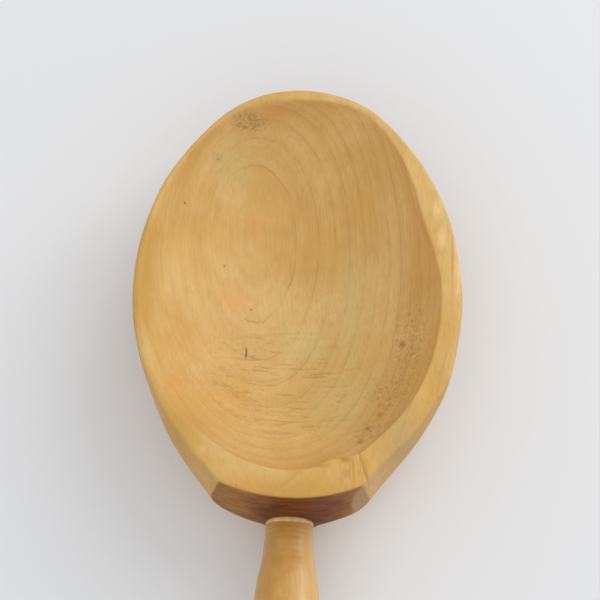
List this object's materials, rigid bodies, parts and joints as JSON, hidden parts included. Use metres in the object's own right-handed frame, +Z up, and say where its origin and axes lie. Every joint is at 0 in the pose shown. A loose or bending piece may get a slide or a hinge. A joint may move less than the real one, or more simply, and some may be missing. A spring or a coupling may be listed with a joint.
{
  "type": "feed scoop",
  "caption": "Hand-carved wooden scoop: deep oval bowl with a flat rim and sawn end face, and a separate turned handle glued and wedged into a socket in that face.",
  "frame": {"origin": "middle of the flat sole, under the widest part of the bowl", "axes": "+Y along the scoop towards the bowl's tip, so the handle leaves at -Y; +Z up out of the bowl's mouth; +X to the right with the handle towards you"},
  "size_m": [0.1614, 0.3341, 0.062],
  "materials": {
    "bowl_wood": "hand-rubbed, honey-coloured maple, end grain darker",
    "handle_wood": "turned and polished by the hand, honey-coloured maple",
    "wedge_wood": "split, unfinished",
    "glue": "dried cream-coloured glue"
  },
  "bodies": {
    "root": {"bowl": "bowl_wood", "handle": "handle_wood", "tenon_wedge": "wedge_wood", "glue": "glue"}
  },
  "joints": []
}
